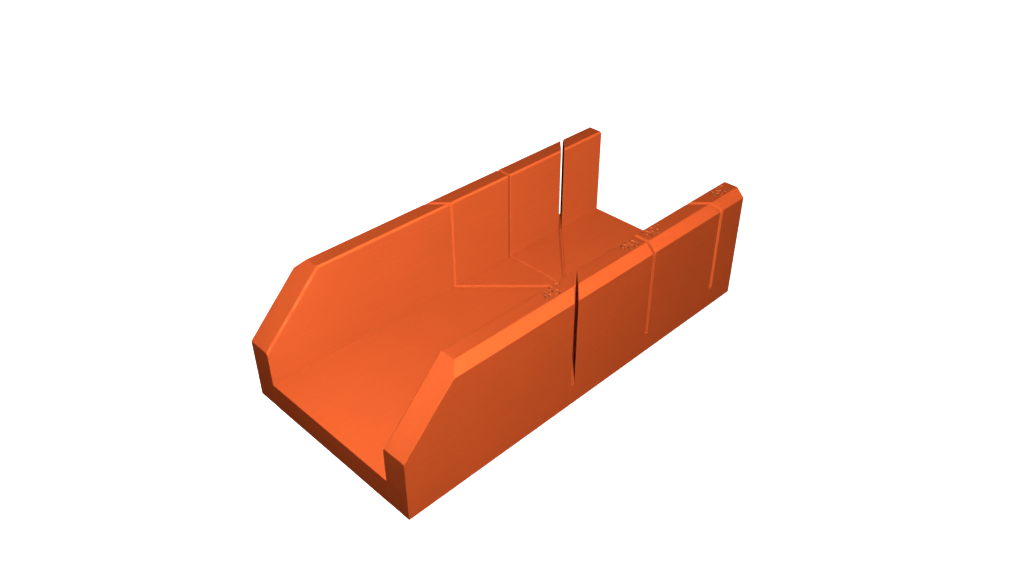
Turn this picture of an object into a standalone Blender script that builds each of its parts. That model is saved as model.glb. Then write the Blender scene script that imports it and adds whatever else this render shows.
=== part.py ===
"""Mitre box: a bed between two side boards, dowelled together, with saw slots at 90 and 45 degrees.

Metres, +Z up. X runs along the box, from the ramped end (-X) to the square end (+X). The user stands at -Y.
The origin is the middle of the underside.
"""

import math

import bmesh
import bpy

# The box
LENGTH = 0.250
WIDTH = 0.120
HEIGHT = 0.070
BOARD = 0.0145              # one thickness for all three boards
RAMP = 0.035                # both legs of the 45 degree ramp at the -X end
OUTER_CHAMFER = 0.005
INNER_CHAMFER = 0.001
JOINT_GAP = 0.0003          # glue line between the bed and a side board

# The saw slots
SLOT_WIDTH = 0.002
SLOT_BOTTOM = 0.013         # height above the underside, so the kerf is 1.5 mm deep in the bed
SLOT_CROSSING = 0.0435      # X of the point where the three slots meet
SLOT_ANGLES = {"square": 90, "mitre_right": 45, "mitre_left": -45}
SLOT_LENGTH = 0.200         # of the cutter, past both side boards

# The dowels
DOWEL_COUNT = 5
DOWEL_RADIUS = 0.003
DOWEL_LENGTH = 0.028
DOWEL_IN_SIDE = 0.0097      # how far it reaches into the side board
DOWEL_END_MARGIN = 0.020    # from the end of the box to the first dowel
DOWEL_CLEARANCE = 0.0003
DOWEL_CHAMFER = 0.0006
DOWEL_SIDES = 24

# The angle marks on top of the front side board
MARK_HEIGHT = 0.0078        # of the figures
MARK_DEPTH = 0.0004
MARKS = {                   # text, and X of its middle
    "mark_mitre_right": ("45°", -0.0231),
    "mark_square_left": ("90", 0.0339),
    "mark_square_right": ("90°", 0.0539),
    "mark_mitre_left": ("45°", 0.1132),
}

# Colours and finish
PAINT_ORANGE = (0.80, 0.115, 0.028, 1.0)
BEECH = (0.62, 0.42, 0.24, 1.0)

FRONT = -1
BACK = 1
TOLERANCE = 0.00001


def clear_scene():
    for item in list(bpy.data.objects):
        bpy.data.objects.remove(item, do_unlink=True)


def make_collection(name):
    collection = bpy.data.collections.new(name)
    bpy.context.scene.collection.children.link(collection)
    return collection


def make_material(name, colour, roughness):
    material = bpy.data.materials.new(name)
    material.use_nodes = True
    shader = material.node_tree.nodes["Principled BSDF"]
    shader.inputs["Base Color"].default_value = colour
    shader.inputs["Roughness"].default_value = roughness
    shader.inputs["Metallic"].default_value = 0.0
    return material


def make_object(name, bm, collection):
    mesh = bpy.data.meshes.new(name)
    bm.to_mesh(mesh)
    bm.free()
    item = bpy.data.objects.new(name, mesh)
    collection.objects.link(item)
    return item


def box_mesh(size):
    bm = bmesh.new()
    bmesh.ops.create_cube(bm, size=1.0)
    bmesh.ops.scale(bm, vec=size, verts=bm.verts)
    return bm


def edges_through(bm, test):
    """The edges whose two ends both pass the test."""
    return [edge for edge in bm.edges if all(test(vert.co) for vert in edge.verts)]


def chamfer(bm, edges, size):
    bmesh.ops.bevel(bm, geom=edges, offset=size, offset_type="OFFSET", segments=1,
                    profile=0.5, affect="EDGES", clamp_overlap=False)


def cut(item, cutter, solver="EXACT"):
    modifier = item.modifiers.new("cut_" + cutter.name, "BOOLEAN")
    modifier.operation = "DIFFERENCE"
    modifier.solver = solver
    modifier.object = cutter


def as_cutter(item):
    item.hide_render = True
    item.display_type = "WIRE"
    return item


def make_slot_cutters(collection):
    """One blade-thin box for each slot. It passes through both side boards and skims the bed."""
    top = HEIGHT * 2
    cutters = []
    for name, angle in SLOT_ANGLES.items():
        bm = box_mesh((SLOT_LENGTH, SLOT_WIDTH, top - SLOT_BOTTOM))
        cutter = as_cutter(make_object("slot_" + name, bm, collection))
        cutter.location = (SLOT_CROSSING, 0, (top + SLOT_BOTTOM) / 2)
        cutter.rotation_euler = (0, 0, math.radians(angle))
        cutters.append(cutter)
    return cutters


def dowel_places():
    """X of each dowel along a joint, evenly spaced between the two end margins."""
    first = DOWEL_END_MARGIN - LENGTH / 2
    step = -2 * first / (DOWEL_COUNT - 1)
    return [first + step * index for index in range(DOWEL_COUNT)]


def dowel_mesh(radius, length, sides):
    bm = bmesh.new()
    bmesh.ops.create_cone(bm, cap_ends=True, segments=sides, radius1=radius, radius2=radius, depth=length)
    return bm


def place_dowel(item, side, x):
    """Lie a dowel or its hole across the joint, at the middle of the bed's thickness."""
    joint = WIDTH / 2 - BOARD
    item.location = (x, side * (joint + DOWEL_IN_SIDE - DOWEL_LENGTH / 2), BOARD / 2)
    item.rotation_euler = (math.radians(90), 0, 0)


def make_dowel_cutters(side_name, side, collection):
    cutters = []
    for number, x in enumerate(dowel_places(), start=1):
        bm = dowel_mesh(DOWEL_RADIUS + DOWEL_CLEARANCE, DOWEL_LENGTH + 2 * DOWEL_CLEARANCE, DOWEL_SIDES)
        cutter = as_cutter(make_object(f"{side_name}_hole_{number}", bm, collection))
        place_dowel(cutter, side, x)
        cutters.append(cutter)
    return cutters


def make_dowels(side_name, side, material, collection):
    for number, x in enumerate(dowel_places(), start=1):
        bm = dowel_mesh(DOWEL_RADIUS, DOWEL_LENGTH, DOWEL_SIDES)
        for face in bm.faces:
            face.smooth = len(face.verts) == 4
        ends = [edge for edge in bm.edges if any(len(face.verts) > 4 for face in edge.link_faces)]
        chamfer(bm, ends, DOWEL_CHAMFER)
        dowel = make_object(f"{side_name}_dowel_{number}", bm, collection)
        dowel.data.materials.append(material)
        place_dowel(dowel, side, x)


def make_base_board(material, collection):
    bm = box_mesh((LENGTH, WIDTH - 2 * BOARD - 2 * JOINT_GAP, BOARD))
    board = make_object("base_board", bm, collection)
    board.location = (0, 0, BOARD / 2)
    board.data.materials.append(material)
    return board


def make_side_board(name, side, material, collection):
    """A plank on edge. The ramp is a large chamfer at its -X end, and the top edges have a small one each."""
    bm = box_mesh((LENGTH, BOARD, HEIGHT))
    left = -LENGTH / 2
    top = HEIGHT / 2
    outer = side * BOARD / 2

    def near(value, target):
        return abs(value - target) < TOLERANCE

    chamfer(bm, edges_through(bm, lambda co: near(co.x, left) and near(co.z, top)), RAMP)
    inner_edges = edges_through(
        bm, lambda co: near(co.y, -outer) and co.z > top - RAMP - TOLERANCE)
    chamfer(bm, inner_edges, INNER_CHAMFER)
    chamfer(bm, edges_through(bm, lambda co: near(co.y, outer) and near(co.z, top)), OUTER_CHAMFER)

    board = make_object(name, bm, collection)
    board.location = (0, side * (WIDTH - BOARD) / 2, HEIGHT / 2)
    board.data.materials.append(material)
    return board


def make_mark_cutter(name, text, collection):
    """Figures as a solid that starts at local z = -MARK_DEPTH, with their middle over the origin."""
    curve = bpy.data.curves.new(name, "FONT")
    curve.body = text
    curve.size = 1.0
    curve.resolution_u = 2
    curve.extrude = 1.0
    item = bpy.data.objects.new(name, curve)
    collection.objects.link(item)
    bpy.context.view_layer.update()
    mesh = bpy.data.meshes.new_from_object(item.evaluated_get(bpy.context.evaluated_depsgraph_get()))
    bpy.data.objects.remove(item, do_unlink=True)
    bpy.data.curves.remove(curve)

    bm = bmesh.new()
    bm.from_mesh(mesh)
    bpy.data.meshes.remove(mesh)
    bmesh.ops.remove_doubles(bm, verts=bm.verts, dist=TOLERANCE)
    across = [vert.co.x for vert in bm.verts]
    along = [vert.co.y for vert in bm.verts]
    middle = (-(min(across) + max(across)) / 2, -(min(along) + max(along)) / 2, 0)
    scale = MARK_HEIGHT / (max(along) - min(along))
    bmesh.ops.translate(bm, vec=middle, verts=bm.verts)
    bmesh.ops.scale(bm, vec=(scale, scale, MARK_DEPTH), verts=bm.verts)
    return as_cutter(make_object(name, bm, collection))


def make_marks(collection):
    """One figure group beside each slot, along the middle of the flat top, with its head towards the bed."""
    middle_y = -(WIDTH - BOARD - OUTER_CHAMFER + INNER_CHAMFER) / 2
    cutters = []
    for name, (text, x) in MARKS.items():
        cutter = make_mark_cutter(name, text, collection)
        cutter.location = (x, middle_y, HEIGHT)
        cutters.append(cutter)
    return cutters


def main():
    clear_scene()
    parts = make_collection("mitre_box")
    guides = make_collection("cutters")

    paint = {name: make_material(name + "_paint", PAINT_ORANGE, 0.45)
             for name in ("base", "front_side", "back_side")}
    beech = {name: make_material(name + "_dowel_beech", BEECH, 0.7) for name in ("front", "back")}

    slots = make_slot_cutters(guides)
    holes = {"front": make_dowel_cutters("front", FRONT, guides),
             "back": make_dowel_cutters("back", BACK, guides)}

    base = make_base_board(paint["base"], parts)
    front = make_side_board("front_side_board", FRONT, paint["front_side"], parts)
    back = make_side_board("back_side_board", BACK, paint["back_side"], parts)

    for cutter in slots + holes["front"] + holes["back"]:
        cut(base, cutter)
    for cutter in slots + holes["front"]:
        cut(front, cutter)
    for cutter in make_marks(guides):
        cut(front, cutter, "MANIFOLD")      # a figure 4 has points in line, where EXACT leaves a gap
    for cutter in slots + holes["back"]:
        cut(back, cutter)

    make_dowels("front", FRONT, beech["front"], parts)
    make_dowels("back", BACK, beech["back"], parts)


main()
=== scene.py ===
import math

import bmesh
import bpy
from mathutils import Matrix, Vector


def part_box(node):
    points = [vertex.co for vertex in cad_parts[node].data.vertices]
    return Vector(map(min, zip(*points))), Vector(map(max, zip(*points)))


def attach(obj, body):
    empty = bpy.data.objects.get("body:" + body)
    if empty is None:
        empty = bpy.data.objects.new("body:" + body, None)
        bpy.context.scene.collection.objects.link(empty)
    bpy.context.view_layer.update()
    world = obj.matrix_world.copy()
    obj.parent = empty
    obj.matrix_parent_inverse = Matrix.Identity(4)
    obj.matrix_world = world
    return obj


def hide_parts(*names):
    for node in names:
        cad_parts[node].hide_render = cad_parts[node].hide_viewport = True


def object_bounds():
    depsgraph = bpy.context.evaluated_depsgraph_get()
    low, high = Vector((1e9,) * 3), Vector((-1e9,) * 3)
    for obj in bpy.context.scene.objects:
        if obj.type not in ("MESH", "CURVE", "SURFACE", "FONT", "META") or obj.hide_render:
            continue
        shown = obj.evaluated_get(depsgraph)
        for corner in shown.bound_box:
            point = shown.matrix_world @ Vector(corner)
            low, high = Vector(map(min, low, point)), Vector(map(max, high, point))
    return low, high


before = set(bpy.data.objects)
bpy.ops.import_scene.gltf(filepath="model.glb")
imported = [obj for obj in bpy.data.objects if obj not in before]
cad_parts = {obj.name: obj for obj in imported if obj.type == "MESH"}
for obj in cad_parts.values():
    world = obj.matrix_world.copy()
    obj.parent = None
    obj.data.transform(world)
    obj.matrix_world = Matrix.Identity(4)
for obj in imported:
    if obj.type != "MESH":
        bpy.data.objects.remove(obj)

cadLow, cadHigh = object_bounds()
boxMiddle = (cadLow + cadHigh) / 2
baseLow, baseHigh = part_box("base_board")
frontLow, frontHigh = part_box("front_side_board")
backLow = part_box("back_side_board")[0]
snap = 0.00001  # two corners closer than this are in the same place
level = 0.99  # a face is level when its normal points up or down at least this much
print("frame loaded,", len(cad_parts), "nodes")


def placeMesh(name, bm):
    mesh = bpy.data.meshes.new(name)
    bm.to_mesh(mesh)
    bm.free()
    item = bpy.data.objects.new(name, mesh)
    bpy.context.scene.collection.objects.link(item)
    return item


def settle(item):
    # swaps the mesh for the one that its modifiers give, and drops the modifiers
    depsgraph = bpy.context.evaluated_depsgraph_get()
    finished = bpy.data.meshes.new_from_object(item.evaluated_get(depsgraph), depsgraph=depsgraph)
    rough = item.data
    item.modifiers.clear()
    item.data = finished
    bpy.data.meshes.remove(rough)
    finished.name = item.name
    return item


def carve(item, tool, solver):
    cutting = item.modifiers.new("carve", "BOOLEAN")
    cutting.operation = "DIFFERENCE"
    cutting.solver = solver
    cutting.object = tool
    if solver == "EXACT":
        cutting.use_self = True  # the blades pass through each other
    settle(item)


def same(one, other):
    return abs(one - other) < snap


def edgesWhere(bm, test):
    return [edge for edge in bm.edges if all(test(vert.co) for vert in edge.verts)]


def bevelEdges(bm, edges, size, segments=1):
    bmesh.ops.bevel(bm, geom=edges, offset=size, offset_type="OFFSET", segments=segments,
                    profile=0.5, affect="EDGES", clamp_overlap=False)


slots = {
    "crossing": (0.0435, 0.0),  # where the three blades meet
    "count": 3,
    "first": math.radians(45),
    "step": math.radians(45),
    "width": 0.002,
    "reach": 0.200,  # a blade's length, past both side boards
    "above": 0.05,  # how far a blade stands over the boards
    "bottom": 0.013,  # a little way into the bed
}
slotAngles = [slots["first"] + slots["step"] * turn for turn in range(slots["count"])]


def groupInput(tree, name, kind):
    return tree.interface.new_socket(name, in_out="INPUT", socket_type=kind).identifier


def bladeTree():
    # one thin block for each blade, turned step by step about the crossing
    tree = bpy.data.node_groups.new("sawBlades", "GeometryNodeTree")
    ids = {name: groupInput(tree, name, kind) for name, kind in (
        ("Count", "NodeSocketInt"), ("First", "NodeSocketFloat"), ("Step", "NodeSocketFloat"),
        ("Place", "NodeSocketVector"), ("Size", "NodeSocketVector"), ("Finish", "NodeSocketMaterial"))}
    tree.interface.new_socket("Geometry", in_out="OUTPUT", socket_type="NodeSocketGeometry")
    nodes, link = tree.nodes, tree.links.new
    asked = nodes.new("NodeGroupInput")
    points = nodes.new("GeometryNodeMeshLine")
    points.inputs["Offset"].default_value = (0, 0, 0)
    link(asked.outputs["Count"], points.inputs["Count"])
    link(asked.outputs["Place"], points.inputs["Start Location"])
    blade = nodes.new("GeometryNodeMeshCube")
    link(asked.outputs["Size"], blade.inputs["Size"])
    index = nodes.new("GeometryNodeInputIndex")
    turn = nodes.new("ShaderNodeMath")
    turn.operation = "MULTIPLY_ADD"
    link(index.outputs[0], turn.inputs[0])
    link(asked.outputs["Step"], turn.inputs[1])
    link(asked.outputs["First"], turn.inputs[2])
    around = nodes.new("ShaderNodeCombineXYZ")
    link(turn.outputs[0], around.inputs["Z"])
    copies = nodes.new("GeometryNodeInstanceOnPoints")
    link(points.outputs["Mesh"], copies.inputs["Points"])
    link(blade.outputs["Mesh"], copies.inputs["Instance"])
    link(around.outputs[0], copies.inputs["Rotation"])
    real = nodes.new("GeometryNodeRealizeInstances")
    link(copies.outputs[0], real.inputs[0])
    finish = nodes.new("GeometryNodeSetMaterial")
    link(real.outputs[0], finish.inputs["Geometry"])
    link(asked.outputs["Finish"], finish.inputs["Material"])
    given = nodes.new("NodeGroupOutput")
    link(finish.outputs[0], given.inputs[0])
    return tree, ids


def grow(name, tree, ids, values):
    # runs a node tree with these inputs and keeps the result as a plain mesh
    item = placeMesh(name, bmesh.new())
    modifier = item.modifiers.new("grow", "NODES")
    modifier.node_group = tree
    for label, value in values.items():
        modifier[ids[label]] = value
    return settle(item)


def makeBlades():
    top = cadHigh.z + slots["above"]
    tree, ids = bladeTree()
    return grow("sawBlades", tree, ids, {
        "Count": slots["count"], "First": slots["first"], "Step": slots["step"],
        "Place": (*slots["crossing"], (top + slots["bottom"]) / 2),
        "Size": (slots["reach"], slots["width"], top - slots["bottom"]),
    })


def onSlotWall(place):
    # the angles of the blades whose cut faces this place lies on
    x, y = place.x - slots["crossing"][0], place.y - slots["crossing"][1]
    return {angle for angle in slotAngles
            if same(abs(y * math.cos(angle) - x * math.sin(angle)), slots["width"] / 2)}


def isSawn(face):
    walls = set.intersection(*(onSlotWall(vert.co) for vert in face.verts))
    floor = abs(face.normal.z) > level and same(face.calc_center_median().z, slots["bottom"])
    return bool(walls) or floor


def startMaterial(name):
    material = bpy.data.materials.new(name)
    material.use_nodes = True
    return material, material.node_tree, material.node_tree.nodes["Principled BSDF"]


def noise(tree, coords, size, detail=2.0, stretch=None, shift=(0, 0, 0)):
    # lumps of about this size in metres; a small number in stretch draws them out along that axis
    place = tree.nodes.new("ShaderNodeMapping")
    place.inputs["Location"].default_value = shift
    place.inputs["Scale"].default_value = stretch or (1, 1, 1)
    tree.links.new(coords, place.inputs["Vector"])
    texture = tree.nodes.new("ShaderNodeTexNoise")
    texture.inputs["Scale"].default_value = 1 / size
    texture.inputs["Detail"].default_value = detail
    tree.links.new(place.outputs[0], texture.inputs["Vector"])
    return texture.outputs["Fac"]


def remap(tree, value, low, high, fromLow=0.3, fromHigh=0.7):
    node = tree.nodes.new("ShaderNodeMapRange")
    for socket, number in (
            ("From Min", fromLow), ("From Max", fromHigh), ("To Min", low), ("To Max", high)):
        node.inputs[socket].default_value = number
    tree.links.new(value, node.inputs["Value"])
    return node.outputs["Result"]


def swing(tree, value, middle, amount):
    return remap(tree, value, middle - amount, middle + amount)


def calc(tree, operation, one, other=0.0):
    node = tree.nodes.new("ShaderNodeMath")
    node.operation = operation
    for socket, value in zip(node.inputs, (one, other)):
        if isinstance(value, (int, float)):
            socket.default_value = value
        else:
            tree.links.new(value, socket)
    return node.outputs[0]


def blendColours(tree, factor, one, other):
    node = tree.nodes.new("ShaderNodeMix")
    node.data_type = "RGBA"
    colourA, colourB = node.inputs[6], node.inputs[7]
    for socket, value in ((node.inputs["Factor"], factor), (colourA, one), (colourB, other)):
        if isinstance(value, (tuple, int, float)):
            socket.default_value = value
        else:
            tree.links.new(value, socket)
    return node.outputs[2]


def faceTag(tree, name):
    node = tree.nodes.new("ShaderNodeAttribute")
    node.attribute_name = name
    return node.outputs["Fac"]


def bump(tree, shader, height, depth):
    node = tree.nodes.new("ShaderNodeBump")
    node.inputs["Distance"].default_value = depth
    tree.links.new(height, node.inputs["Height"])
    tree.links.new(node.outputs["Normal"], shader.inputs["Normal"])


paint = {
    "colour": (0.76, 0.114, 0.026, 1),
    "tone": 0.025,  # how far the coat's depth drifts along a board
    "toneSize": 0.045,
    "speck": 0.025,
    "speckSize": 0.0007,
    "grain": 0.020,  # the board's grain, just showing through
    "grainSize": 0.0011,
    "grainStretch": (0.03, 1, 1),
    "grainDepth": 0.5,  # times the peel's depth
    "bevelHighlightGain": 1.2,  # painted highlight: how much paler the paint is made on the bevels that face up and out
    "wornAndFigureHighlight": (0.84, 0.17, 0.055, 1),  # paler paint where hands have rubbed an edge (wear), and a painted highlight over every cut figure
    "wornSize": 0.008,
    "wornMost": 0.55,
    "wornFrom": (0.45, 0.65),  # the noise's values where the wear starts and is full
    "figureShade": (0.045, 0.012, 0.006, 1),  # painted shade, in dark patches in the cut figures
    "figureShadeSize": 0.0012,
    "figureShadeMost": 0.95,
    "figureShadeFrom": (0.46, 0.62),
    "roughness": 0.52,
    "roughnessDrift": 0.05,
    "driftSize": 0.02,
    "specular": 0.2,
    "shine": (1.0, 0.35, 0.15, 1),
    "peelSize": 0.0009,
    "peelDepth": 0.000016,
    "sawLine": 0.0006,
    "sawStretch": (0.05, 0.05, 1),  # the lines lie level, as the strokes do
    "sawnDepth": 3.0,  # times the peel's depth
    "sawnRoughness": 0.14,
}


def makePaint(name, shift):
    material, tree, shader = startMaterial(name)
    coords = tree.nodes.new("ShaderNodeTexCoord").outputs["Object"]
    tone = swing(tree, noise(tree, coords, paint["toneSize"], shift=shift), 1, paint["tone"])
    speck = swing(tree, noise(tree, coords, paint["speckSize"], detail=1.0), 1, paint["speck"])
    grainField = noise(tree, coords, paint["grainSize"], 3.0, paint["grainStretch"], shift)
    grain = swing(tree, grainField, 1, paint["grain"])
    # painted highlight: the paint is made paler on the bevels that face up and out, as the light would
    # make them look
    bevelHighlight = remap(tree, faceTag(tree, "bevel"), 1.0, paint["bevelHighlightGain"], 0.0, 1.0)
    coatDepth = calc(tree, "MULTIPLY", calc(tree, "MULTIPLY", tone, speck), grain)
    # the coat's random drift in depth, times the painted highlight on the bevels
    depth = tree.nodes.new("ShaderNodeHueSaturation")
    depth.inputs["Color"].default_value = paint["colour"]
    tree.links.new(calc(tree, "MULTIPLY", coatDepth, bevelHighlight), depth.inputs["Value"])

    # rubbed arrises get paler paint in patches as wear; the cut figures get it all over as a painted
    # highlight
    figure = faceTag(tree, "figure")
    wear = noise(tree, coords, paint["wornSize"], 3.0, shift=shift)
    rubbed = calc(tree, "MULTIPLY", faceTag(tree, "arris"),
                  remap(tree, wear, 0.0, paint["wornMost"], *paint["wornFrom"]))
    coat = blendColours(tree, calc(tree, "MAXIMUM", rubbed, figure), depth.outputs[0], paint["wornAndFigureHighlight"])
    # painted shade: dark patches in the cut figures, where their walls would be in shade
    figureShadePatches = noise(tree, coords, paint["figureShadeSize"])
    figureShadeMask = calc(tree, "MULTIPLY", figure,
                 remap(tree, figureShadePatches, 0.0, paint["figureShadeMost"], *paint["figureShadeFrom"]))
    tree.links.new(blendColours(tree, figureShadeMask, coat, paint["figureShade"]), shader.inputs["Base Color"])

    sawn = faceTag(tree, "sawn")
    drift = noise(tree, coords, paint["driftSize"], 3.0, shift=shift)
    roughness = calc(tree, "ADD", swing(tree, drift, paint["roughness"], paint["roughnessDrift"]),
                     calc(tree, "MULTIPLY", sawn, paint["sawnRoughness"]))
    tree.links.new(roughness, shader.inputs["Roughness"])
    shader.inputs["Specular IOR Level"].default_value = paint["specular"]
    shader.inputs["Specular Tint"].default_value = paint["shine"]

    peel = noise(tree, coords, paint["peelSize"])
    teeth = noise(tree, coords, paint["sawLine"], stretch=paint["sawStretch"], shift=shift)
    smooth = calc(tree, "ADD", peel, calc(tree, "MULTIPLY", grainField, paint["grainDepth"]))
    ragged = calc(tree, "MULTIPLY", calc(tree, "MULTIPLY", teeth, sawn), paint["sawnDepth"])
    bump(tree, shader, calc(tree, "ADD", smooth, ragged), paint["peelDepth"])
    return material


board = {
    "ramp": 0.035,  # both legs of the slope
    "outerChamfer": 0.005,
    "innerChamfer": 0.001,
    "arris": 0.00018,  # every sharp edge is eased this much
    "arrisSteps": 2,
    "glueLine": 0.00003,
    "flat": math.radians(0.5),  # faces that meet at less than this are one face
    "sharp": math.radians(15),  # edges that turn more than this are eased
    "turned": math.radians(4),  # a face this far off every main direction is on an eased edge
}
mainDirections = [Vector(way).normalized() for way in (
    (1, 0, 0), (-1, 0, 0), (0, 1, 0), (0, -1, 0), (0, 0, 1), (0, 0, -1),
    (-1, 0, 1), (0, 1, 1), (0, -1, 1), (-1, 1, 1), (-1, -1, 1),
    (1, 1, 0), (1, -1, 0), (-1, 1, 0), (-1, -1, 0))]


def block(low, high):
    bm = bmesh.new()
    sides = Matrix.Diagonal((*(high - low), 1))
    bmesh.ops.create_cube(bm, size=1.0, matrix=Matrix.Translation((low + high) / 2) @ sides)
    return bm


def easeEdges(item, keepSharp):
    # rounds every sharp edge by a hair, apart from the ones that a joint hides
    bm = bmesh.new()
    bm.from_mesh(item.data)
    bmesh.ops.remove_doubles(bm, verts=bm.verts, dist=snap / 10)
    bmesh.ops.dissolve_limit(bm, angle_limit=board["flat"], verts=bm.verts, edges=bm.edges)
    edges = []
    for edge in bm.edges:
        sawnSides = [isSawn(face) for face in edge.link_faces]
        if len(sawnSides) == 2 and not all(sawnSides) and edge.calc_face_angle() > board["sharp"]:
            if not all(keepSharp(vert.co) for vert in edge.verts):
                edges.append(edge)
    bevelEdges(bm, edges, board["arris"], board["arrisSteps"])
    bm.to_mesh(item.data)
    bm.free()


def tagFaces(item):
    # marks the eased edges, the bevels (painted highlight), the sawn faces and the figures (painted
    # highlight and shade) for the paint
    bm = bmesh.new()
    bm.from_mesh(item.data)
    arris = bm.faces.layers.float.new("arris")
    sawn = bm.faces.layers.float.new("sawn")
    figure = bm.faces.layers.float.new("figure")
    bevel = bm.faces.layers.float.new("bevel")
    for face in bm.faces:
        nearest = max(face.normal.dot(way) for way in mainDirections)
        heights = [vert.co.z for vert in face.verts]
        inFigure = same(min(heights), cadHigh.z - marks["depth"]) and not isSawn(face)
        face[arris] = float(nearest < math.cos(board["turned"]) and not inFigure)
        face[sawn] = float(isSawn(face))
        face[figure] = float(inFigure)
        face[bevel] = float(same(face.normal.z, math.sqrt(0.5)) and same(face.normal.x, 0))
    bm.to_mesh(item.data)
    bm.free()


def makeSideBoard(name, node, blades):
    low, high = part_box(node)
    front = high.y < 0
    inner, outer = (high.y, low.y) if front else (low.y, high.y)
    bm = block(low, high)
    rampFoot = high.z - board["ramp"] - snap
    for size, test in (
            ("ramp", lambda at: same(at.x, low.x) and same(at.z, high.z)),
            ("innerChamfer", lambda at: same(at.y, inner) and at.z > rampFoot),
            ("outerChamfer", lambda at: same(at.y, outer) and same(at.z, high.z))):
        bevelEdges(bm, edgesWhere(bm, test), board[size])
    item = placeMesh(name, bm)
    carve(item, blades, "EXACT")
    easeEdges(item, lambda at: same(at.y, inner) and (same(at.z, low.z) or same(abs(at.x), high.x)))
    return item


def makeBaseBoard(name, blades):
    # fills the space between the side boards, so that the joint is only a glue line
    low = Vector((baseLow.x, frontHigh.y + board["glueLine"], baseLow.z))
    high = Vector((baseHigh.x, backLow.y - board["glueLine"], baseHigh.z))
    item = placeMesh(name, block(low, high))
    carve(item, blades, "EXACT")
    easeEdges(item, lambda at: same(abs(at.y), high.y))
    return item


marks = {
    "height": 0.0078,
    "depth": 0.0004,
    "curveSteps": 4,
    "places": (  # text, and X of its middle
        ("45°", -0.0231), ("90", 0.0339), ("90°", 0.0539), ("45°", 0.1132)),
}


def markCutter(text, x, y):
    # figures as a solid that dips into the board's top
    letters = bpy.data.curves.new("letters", "FONT")
    letters.body = text
    letters.size = 1.0
    letters.resolution_u = marks["curveSteps"]
    letters.extrude = 1.0
    item = bpy.data.objects.new("letters", letters)
    bpy.context.scene.collection.objects.link(item)
    bpy.context.view_layer.update()
    mesh = bpy.data.meshes.new_from_object(item.evaluated_get(bpy.context.evaluated_depsgraph_get()))
    bpy.data.objects.remove(item, do_unlink=True)
    bpy.data.curves.remove(letters)

    bm = bmesh.new()
    bm.from_mesh(mesh)
    bpy.data.meshes.remove(mesh)
    bmesh.ops.remove_doubles(bm, verts=bm.verts, dist=snap)
    across = [vert.co.x for vert in bm.verts]
    along = [vert.co.y for vert in bm.verts]
    size = marks["height"] / (max(along) - min(along))
    middle = Vector(((min(across) + max(across)) / 2, (min(along) + max(along)) / 2, 0))
    for vert in bm.verts:
        vert.co -= middle
        vert.co = Vector((vert.co.x * size + x, vert.co.y * size + y,
                          vert.co.z * marks["depth"] + cadHigh.z))
    return placeMesh("markCutter", bm)


def engrave(item):
    innerEdge = frontHigh.y - board["innerChamfer"]
    outerEdge = frontLow.y + board["outerChamfer"]
    for text, x in marks["places"]:
        cutter = markCutter(text, x, (innerEdge + outerEdge) / 2)
        carve(item, cutter, "MANIFOLD")
        bpy.data.objects.remove(cutter, do_unlink=True)


dowel = {
    "flutes": 16,
    "pointsPerFlute": 6,
    "fluteDepth": 0.00022,
    "chamfer": 0.0006,
    "stops": 4,  # rings of points along a pin, of which the outer two make its end faces
    "endZone": 0.8,  # past this part of its half length a point is on an end face
    "lying": math.radians(90),  # the pins lie across the box
    "clearance": 0.0003,  # round the dowel and at its ends
    "holeSides": 32,
}
dowelNodes = sorted(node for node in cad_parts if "dowel" in node)


def drill(item, side):
    # a blind hole for each dowel of a joint, from the dowel's own box
    for node in [name for name in dowelNodes if name.startswith(side)]:
        low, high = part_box(node)
        radius = (high.z - low.z) / 2 + dowel["clearance"]
        length = high.y - low.y + 2 * dowel["clearance"]
        place = Matrix.Translation((low + high) / 2) @ Matrix.Rotation(dowel["lying"], 4, "X")
        bm = bmesh.new()
        bmesh.ops.create_cone(bm, cap_ends=True, segments=dowel["holeSides"], radius1=radius,
                              radius2=radius, depth=length, matrix=place)
        bit = placeMesh("drillBit", bm)
        carve(item, bit, "EXACT")
        bpy.data.objects.remove(bit, do_unlink=True)


def coat(item, finish):
    # one finish all over, in place of any material slots that the cutters left
    item.data.materials.clear()
    item.data.materials.append(finish)
    item.data.polygons.foreach_set("material_index", [0] * len(item.data.polygons))


sawBlades = makeBlades()
baseBoard = makeBaseBoard("baseBoard", sawBlades)
frontBoard = makeSideBoard("frontSideBoard", "front_side_board", sawBlades)
backBoard = makeSideBoard("backSideBoard", "back_side_board", sawBlades)
bpy.data.objects.remove(sawBlades, do_unlink=True)
engrave(frontBoard)
for item, node, slot, shift, joints in (
        (baseBoard, "base_board", "base_paint", (0.0, 0.0, 0.0), ("front", "back")),
        (frontBoard, "front_side_board", "front_paint", (0.7, 0.4, 0.9), ("front",)),
        (backBoard, "back_side_board", "back_paint", (1.4, 0.8, 1.8), ("back",))):
    tagFaces(item)
    for side in joints:
        drill(item, side)
    coat(item, makePaint(item.name + "Paint", shift))
    item.visible_diffuse = False  # or the boards would redden each other and light up the slots
    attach(item, "root")
    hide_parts(node)
print("boards cut, slotted, marked and drilled")


beech = {
    "pale": (0.66, 0.46, 0.27, 1),
    "dark": (0.50, 0.31, 0.16, 1),
    "fleck": (0.34, 0.19, 0.09, 1),
    "ringSize": 0.0016,
    "ringStretch": (1, 0.06, 1),
    "ringFrom": (0.35, 0.65),
    "fleckSize": 0.0004,
    "fleckStretch": (1, 0.12, 1),
    "fleckMost": 0.7,
    "fleckFrom": (0.60, 0.72),
    "roughness": 0.62,
    "roughnessRise": 0.1,  # in the dark rings
    "specular": 0.3,
    "depth": 0.00003,
}


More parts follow.
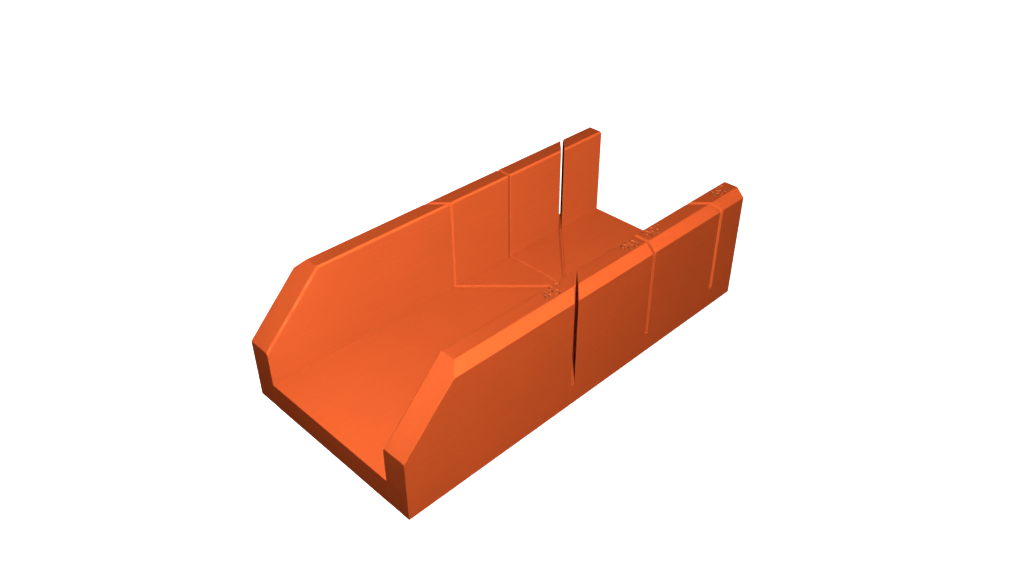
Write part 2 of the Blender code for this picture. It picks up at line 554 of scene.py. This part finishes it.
def makeBeech(name):
    material, tree, shader = startMaterial(name)
    coords = tree.nodes.new("ShaderNodeTexCoord").outputs["Object"]
    rings = noise(tree, coords, beech["ringSize"], 3.0, beech["ringStretch"])
    flecks = noise(tree, coords, beech["fleckSize"], stretch=beech["fleckStretch"])
    ringed = remap(tree, rings, 0.0, 1.0, *beech["ringFrom"])
    flecked = remap(tree, flecks, 0.0, beech["fleckMost"], *beech["fleckFrom"])
    wood = blendColours(tree, ringed, beech["pale"], beech["dark"])
    wood = blendColours(tree, flecked, wood, beech["fleck"])
    tree.links.new(wood, shader.inputs["Base Color"])
    roughest = beech["roughness"] + beech["roughnessRise"]
    tree.links.new(remap(tree, rings, beech["roughness"], roughest), shader.inputs["Roughness"])
    shader.inputs["Specular IOR Level"].default_value = beech["specular"]
    bump(tree, shader, flecks, beech["depth"])
    return material


def dowelTree():
    # a fluted pin: a ring of points with dips, drawn along the pin, with its ends pulled in
    tree = bpy.data.node_groups.new("flutedDowel", "GeometryNodeTree")
    ids = {name: groupInput(tree, name, kind) for name, kind in (
        ("Radius", "NodeSocketFloat"), ("Length", "NodeSocketFloat"), ("Chamfer", "NodeSocketFloat"),
        ("Flutes", "NodeSocketInt"), ("Points per Flute", "NodeSocketInt"),
        ("Flute Depth", "NodeSocketFloat"), ("Place", "NodeSocketVector"),
        ("Finish", "NodeSocketMaterial"))}
    tree.interface.new_socket("Geometry", in_out="OUTPUT", socket_type="NodeSocketGeometry")
    nodes, link = tree.nodes, tree.links.new
    asked = nodes.new("NodeGroupInput").outputs

    def work(operation, one, other=0.0):
        return calc(tree, operation, one, other)

    ring = nodes.new("GeometryNodeCurvePrimitiveCircle")
    link(work("MULTIPLY", asked["Flutes"], asked["Points per Flute"]), ring.inputs["Resolution"])
    link(asked["Radius"], ring.inputs["Radius"])
    index = nodes.new("GeometryNodeInputIndex").outputs[0]
    wave = work("COSINE", work("DIVIDE", work("MULTIPLY", index, math.tau), asked["Points per Flute"]))
    deepest = work("DIVIDE", asked["Flute Depth"], asked["Radius"])
    dip = work("MULTIPLY", work("MAXIMUM", wave), deepest)
    place = nodes.new("GeometryNodeInputPosition").outputs[0]
    inward = nodes.new("ShaderNodeVectorMath")
    inward.operation = "SCALE"
    link(place, inward.inputs[0])
    link(work("MULTIPLY", dip, -1.0), inward.inputs["Scale"])
    fluted = nodes.new("GeometryNodeSetPosition")
    link(ring.outputs["Curve"], fluted.inputs["Geometry"])
    link(inward.outputs[0], fluted.inputs["Offset"])

    half = work("DIVIDE", asked["Length"], 2.0)
    ends = []
    for sign in (-1.0, 1.0):
        end = nodes.new("ShaderNodeCombineXYZ")
        link(work("MULTIPLY", half, sign), end.inputs["Z"])
        ends.append(end.outputs[0])
    rail = nodes.new("GeometryNodeCurvePrimitiveLine")
    link(ends[0], rail.inputs["Start"])
    link(ends[1], rail.inputs["End"])
    stops = nodes.new("GeometryNodeResampleCurve")
    stops.inputs["Count"].default_value = dowel["stops"]
    link(rail.outputs[0], stops.inputs["Curve"])
    pin = nodes.new("GeometryNodeCurveToMesh")
    pin.inputs["Fill Caps"].default_value = True
    link(stops.outputs[0], pin.inputs["Curve"])
    link(fluted.outputs[0], pin.inputs["Profile Curve"])

    axes = nodes.new("ShaderNodeSeparateXYZ")
    link(place, axes.inputs[0])
    across, along, lengthwise = axes.outputs
    atEnd = work("GREATER_THAN", work("ABSOLUTE", lengthwise), work("MULTIPLY", half, dowel["endZone"]))
    pulledIn = work("MULTIPLY", atEnd, work("DIVIDE", asked["Chamfer"], asked["Radius"]))
    narrow = work("SUBTRACT", 1.0, pulledIn)
    inside = work("SUBTRACT", half, asked["Chamfer"])
    reach = work("ADD", inside, work("MULTIPLY", atEnd, asked["Chamfer"]))
    moved = nodes.new("ShaderNodeCombineXYZ")
    link(work("MULTIPLY", across, narrow), moved.inputs["X"])
    link(work("MULTIPLY", along, narrow), moved.inputs["Y"])
    link(work("MULTIPLY", work("SIGN", lengthwise), reach), moved.inputs["Z"])
    shaped = nodes.new("GeometryNodeSetPosition")
    link(pin.outputs[0], shaped.inputs["Geometry"])
    link(moved.outputs[0], shaped.inputs["Position"])

    laid = nodes.new("GeometryNodeTransform")
    laid.inputs["Rotation"].default_value = (dowel["lying"], 0, 0)
    link(shaped.outputs[0], laid.inputs["Geometry"])
    link(asked["Place"], laid.inputs["Translation"])
    real = nodes.new("GeometryNodeRealizeInstances")
    link(laid.outputs[0], real.inputs[0])
    finish = nodes.new("GeometryNodeSetMaterial")
    link(real.outputs[0], finish.inputs["Geometry"])
    link(asked["Finish"], finish.inputs["Material"])
    given = nodes.new("NodeGroupOutput")
    link(finish.outputs[0], given.inputs[0])
    return tree, ids


beechWood = makeBeech("beechWood")
pinTree, pinIds = dowelTree()
for node in dowelNodes:
    low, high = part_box(node)
    side, _, number = node.split("_")
    item = grow(f"{side}Dowel{number}", pinTree, pinIds, {
        "Radius": (high.z - low.z) / 2, "Length": high.y - low.y, "Chamfer": dowel["chamfer"],
        "Flutes": dowel["flutes"], "Points per Flute": dowel["pointsPerFlute"],
        "Flute Depth": dowel["fluteDepth"], "Place": tuple((low + high) / 2), "Finish": beechWood,
    })
    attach(item, "root")
    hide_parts(node)
print(len(dowelNodes), "dowels turned and fluted")


studio = {
    "floorSize": 6.0,
    "rim": 2.5,
    "floorProfile": (  # from the middle out: radius and height, as parts of the floor's size and the rim
        (0.5, 0.0), (0.7, 0.0), (0.85, 0.05), (0.95, 0.18), (1.0, 0.5)),
    "floorSteps": 64,
    "floorColour": (0.9, 0.9, 0.9, 1),
    "floorRoughness": 0.9,
    "floorGlow": 1.0,
    "backdrop": (1, 1, 1, 1),
    "bulbSize": 0.01,
    "bulbs": {  # the key and far bulbs throw no shadow, and the far one adds no shine
        "keyLight": {
            "place": (-0.14, -0.20, 0.18), "watts": 38.8, "fade": "Constant",
            "shadow": False, "shine": True},
        "troughLight": {
            "place": (-0.22, -0.04, 0.25), "watts": 15.6, "fade": "Constant",
            "shadow": True, "shine": True},
        "frontRampLight": {
            "place": (-0.14, -0.04, 0.10), "watts": 0.045, "fade": "Quadratic",
            "shadow": True, "shine": True},
        "backRampLight": {
            "place": (-0.14, 0.03, 0.10), "watts": 0.033, "fade": "Quadratic",
            "shadow": True, "shine": True},
        "farLight": {
            "place": (1.0, 0.90, 0.08), "watts": 26.0, "fade": "Constant",
            "shadow": False, "shine": False},
    },
    "panelPlace": (0.22, -0.55, 0.55),  # a warm panel that only adds shine, along the long bevels
    "panelSize": 0.5,
    "panelWatts": 30.0,
    "panelColour": (1.0, 0.40, 0.14),
    "lens": 32.11,
    "sensor": 36.0,
    "cameraSide": Vector((-1, -1, 1)),  # from the middle of the box, times the box's diagonal
}


def makeFloor():
    # a round floor whose rim sweeps up, so that there is no horizon
    bm = bmesh.new()
    steps = studio["floorSteps"]
    hub = bm.verts.new((0, 0, 0))
    rings = []
    for part, rise in studio["floorProfile"]:
        radius, height = part * studio["floorSize"], rise * studio["rim"]
        turns = [math.tau * step / steps for step in range(steps)]
        rings.append([bm.verts.new((radius * math.cos(turn), radius * math.sin(turn), height))
                      for turn in turns])
    for step in range(steps):
        ahead = (step + 1) % steps
        bm.faces.new((hub, rings[0][step], rings[0][ahead]))
        for inner, outer in zip(rings, rings[1:]):
            bm.faces.new((inner[step], outer[step], outer[ahead], inner[ahead]))
    for face in bm.faces:
        face.smooth = True
    floor = placeMesh("floor", bm)
    material, tree, shader = startMaterial("floorPaper")
    shader.inputs["Base Color"].default_value = studio["floorColour"]
    shader.inputs["Roughness"].default_value = studio["floorRoughness"]
    shader.inputs["Specular IOR Level"].default_value = 0.0
    shader.inputs["Emission Color"].default_value = studio["backdrop"]
    shader.inputs["Emission Strength"].default_value = studio["floorGlow"]
    floor.data.materials.append(material)
    floor.visible_diffuse = False
    floor.visible_glossy = False


def aim(item, place):
    item.location = place
    item.rotation_euler = (boxMiddle - item.location).to_track_quat("-Z", "Y").to_euler()
    bpy.context.scene.collection.objects.link(item)


def placeLamp(light, place):
    lamp = bpy.data.objects.new(light.name, light)
    aim(lamp, place)
    lamp.visible_camera = False
    return lamp


def makeBulb(name, settings):
    light = bpy.data.lights.new(name, "POINT")
    light.shadow_soft_size = studio["bulbSize"]
    light.energy = settings["watts"]
    light.use_shadow = settings["shadow"]
    light.use_nodes = True
    tree = light.node_tree
    fade = tree.nodes.new("ShaderNodeLightFalloff")
    fade.inputs["Strength"].default_value = 1.0
    tree.links.new(fade.outputs[settings["fade"]], tree.nodes["Emission"].inputs["Strength"])
    placeLamp(light, settings["place"]).visible_glossy = settings["shine"]


def makePanel():
    light = bpy.data.lights.new("shinePanel", "AREA")
    light.shape = "DISK"
    light.size = studio["panelSize"]
    light.energy = studio["panelWatts"]
    light.color = studio["panelColour"]
    placeLamp(light, studio["panelPlace"]).visible_diffuse = False


makeFloor()
for name, settings in studio["bulbs"].items():
    makeBulb(name, settings)
makePanel()
world = bpy.data.worlds.new("studio")
world.use_nodes = True
world.node_tree.nodes["Background"].inputs["Color"].default_value = studio["backdrop"]
bpy.context.scene.world = world
world.cycles_visibility.diffuse = False  # a white backdrop that lights nothing
world.cycles_visibility.glossy = False
bpy.context.scene.view_settings.view_transform = "Standard"

camera = bpy.data.objects.new("camera", bpy.data.cameras.new("camera"))
camera.data.lens = studio["lens"]
camera.data.sensor_width = studio["sensor"]
aim(camera, boxMiddle + studio["cameraSide"] * (cadHigh - cadLow).length)
bpy.context.scene.camera = camera
print("studio set")
